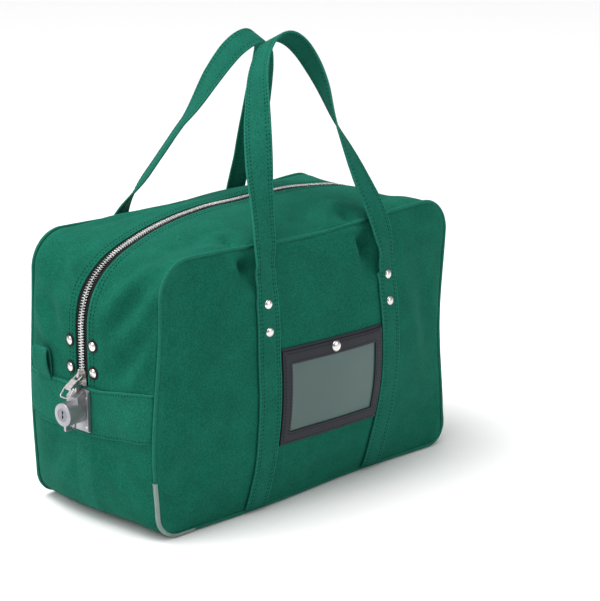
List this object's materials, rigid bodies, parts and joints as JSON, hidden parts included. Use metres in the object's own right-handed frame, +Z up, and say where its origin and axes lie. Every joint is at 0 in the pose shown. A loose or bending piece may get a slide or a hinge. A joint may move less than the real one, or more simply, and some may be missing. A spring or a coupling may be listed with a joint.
{
  "type": "cash deposit bag",
  "caption": "Zipped canvas boston bag with strap handles, a key lock that holds the zip slider, rivets and a window pocket.",
  "frame": {"origin": "middle of the flat bottom, on the surface that the bag stands on", "axes": "+Z up, +X along the bag away from the lock, -Y towards the panel with the window pocket"},
  "size_m": [0.5164, 0.2628, 0.5006],
  "materials": {
    "canvas": "woven canvas",
    "strap": "folded and stitched canvas strap",
    "piping": "canvas covered",
    "cord": "extruded",
    "board": "fibreboard",
    "guard": "translucent",
    "zip_tape": "woven tape",
    "zip_metal": "polished",
    "slider_metal": "nickel plated",
    "washer": "moulded",
    "rivet_metal": "nickel plated",
    "lock_casting": "cast and satin",
    "lock_steel": "satin",
    "window": "clear",
    "vinyl": "grained vinyl"
  },
  "bodies": {
    "bag": {"back_handle_burrs": "rivet_metal", "back_handle_rivets": "rivet_metal", "back_panel": "canvas", "back_piping": "piping", "back_piping_cord": "cord", "back_strap_legs": "strap", "base_board": "board", "corner_guard": "guard", "front_handle_burrs": "rivet_metal", "front_handle_rivets": "rivet_metal", "front_panel": "canvas", "front_piping": "piping", "front_piping_cord": "cord", "front_strap_legs": "strap", "left_end_band": "canvas", "lock_backing_plate": "lock_steel", "lock_base_plate": "lock_casting", "lock_housing": "lock_casting", "lock_rivets": "rivet_metal", "lower_gusset": "canvas", "pocket_backing": "vinyl", "pocket_frame": "vinyl", "pocket_welt": "vinyl", "pocket_window": "window", "right_end_band": "canvas", "side_loop": "canvas", "snap_cap": "rivet_metal", "snap_post": "rivet_metal", "snap_socket": "rivet_metal", "snap_stud": "rivet_metal", "top_gusset_back": "canvas", "top_gusset_front": "canvas", "zip_end_burrs": "rivet_metal", "zip_end_rivets": "rivet_metal", "zip_end_stop": "zip_metal", "zip_end_washers": "washer", "zip_tape_back": "zip_tape", "zip_tape_front": "zip_tape", "zip_teeth_back": "zip_metal", "zip_teeth_front": "zip_metal"},
    "front_handle": {"front_handle_loop": "strap"},
    "back_handle": {"back_handle_loop": "strap"},
    "zip_slider": {"zip_slider": "slider_metal"},
    "zip_pull": {"zip_pull": "slider_metal"},
    "pull_ring": {"pull_ring": "slider_metal"},
    "lock_plug": {"lock_plug": "lock_steel"},
    "lock_bolt": {"lock_bolt": "lock_steel"}
  },
  "joints": [
    {"name": "front_handle_fold", "type": "hinge", "parent": "bag", "child": "front_handle", "pos_m": [0, -0.1205, 0.24], "axis": [1, 0, 0], "range_deg": [0, 150]},
    {"name": "back_handle_fold", "type": "hinge", "parent": "bag", "child": "back_handle", "pos_m": [0, 0.1205, 0.24], "axis": [-1, 0, 0], "range_deg": [0, 150]},
    {"name": "zip_slide", "type": "slide", "parent": "bag", "child": "zip_slider", "axis": [0, 0, 1], "range_m": [0, 0.06]},
    {"name": "pull_swing", "type": "hinge", "parent": "zip_slider", "child": "zip_pull", "pos_m": [-0.2457, 0, 0.165], "axis": [0, 1, 0], "range_deg": [0, 110]},
    {"name": "ring_swing", "type": "hinge", "parent": "zip_pull", "child": "pull_ring", "pos_m": [-0.25996, 0, 0.15538], "axis": [0, 1, 0], "range_deg": [-40, 30]},
    {"name": "plug_turn", "type": "hinge", "parent": "bag", "child": "lock_plug", "pos_m": [-0.271, 0, 0.128], "axis": [-1, 0, 0], "range_deg": [0, 90]},
    {"name": "bolt_slide", "type": "slide", "parent": "bag", "child": "lock_bolt", "axis": [0, 1, 0], "range_m": [0, 0.00426]}
  ],
  "couplings": [
    {"joint": "bolt_slide", "follows": "plug_turn", "m_per_rad": 0.0027009}
  ]
}
